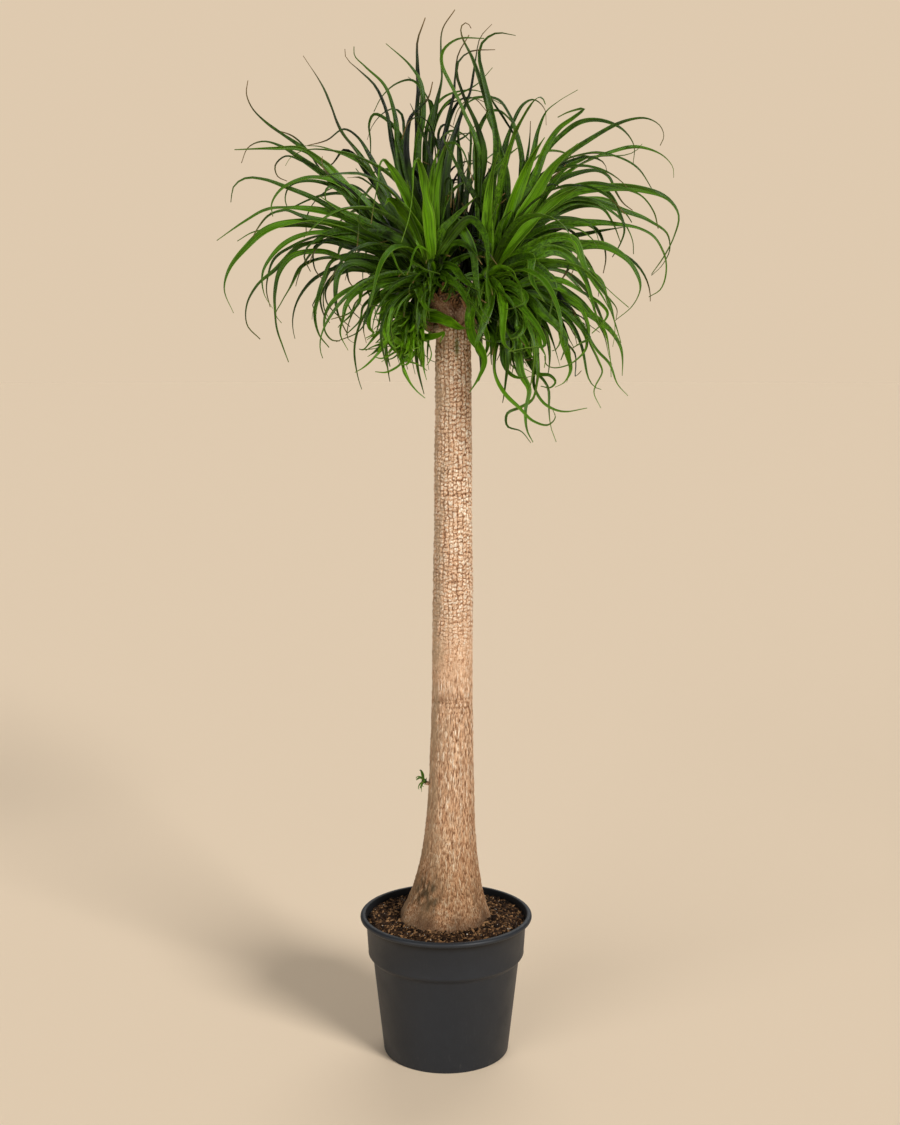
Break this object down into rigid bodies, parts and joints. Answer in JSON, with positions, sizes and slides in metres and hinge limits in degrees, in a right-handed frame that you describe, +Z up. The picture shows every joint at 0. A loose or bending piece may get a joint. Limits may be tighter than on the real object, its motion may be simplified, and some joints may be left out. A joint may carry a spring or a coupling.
{
  "type": "potted ponytail palm",
  "caption": "Tall houseplant with a slender corky trunk, flared at its foot, and a crown of long arching strap leaves, in a round dark plastic nursery pot.",
  "frame": {"origin": "middle of the underside of the pot, where it stands on the floor", "axes": "+Z up along the trunk; the plant's front is seen when looking along +Y, with +X to the right"},
  "size_m": [0.7873, 0.6848, 1.8315],
  "materials": {
    "pot_plastic": "matte",
    "potting_soil": "rough, crumbly",
    "bark": "rough, corky",
    "leaf": "satin"
  },
  "bodies": {
    "root": {"pot": "pot_plastic", "soil": "potting_soil", "trunk": "bark", "left_rosette": "leaf", "front_left_rosette": "leaf", "front_right_rosette": "leaf", "right_rosette": "leaf", "back_rosette": "leaf", "low_tuft": "leaf", "trunk_sprout": "leaf"}
  },
  "joints": []
}
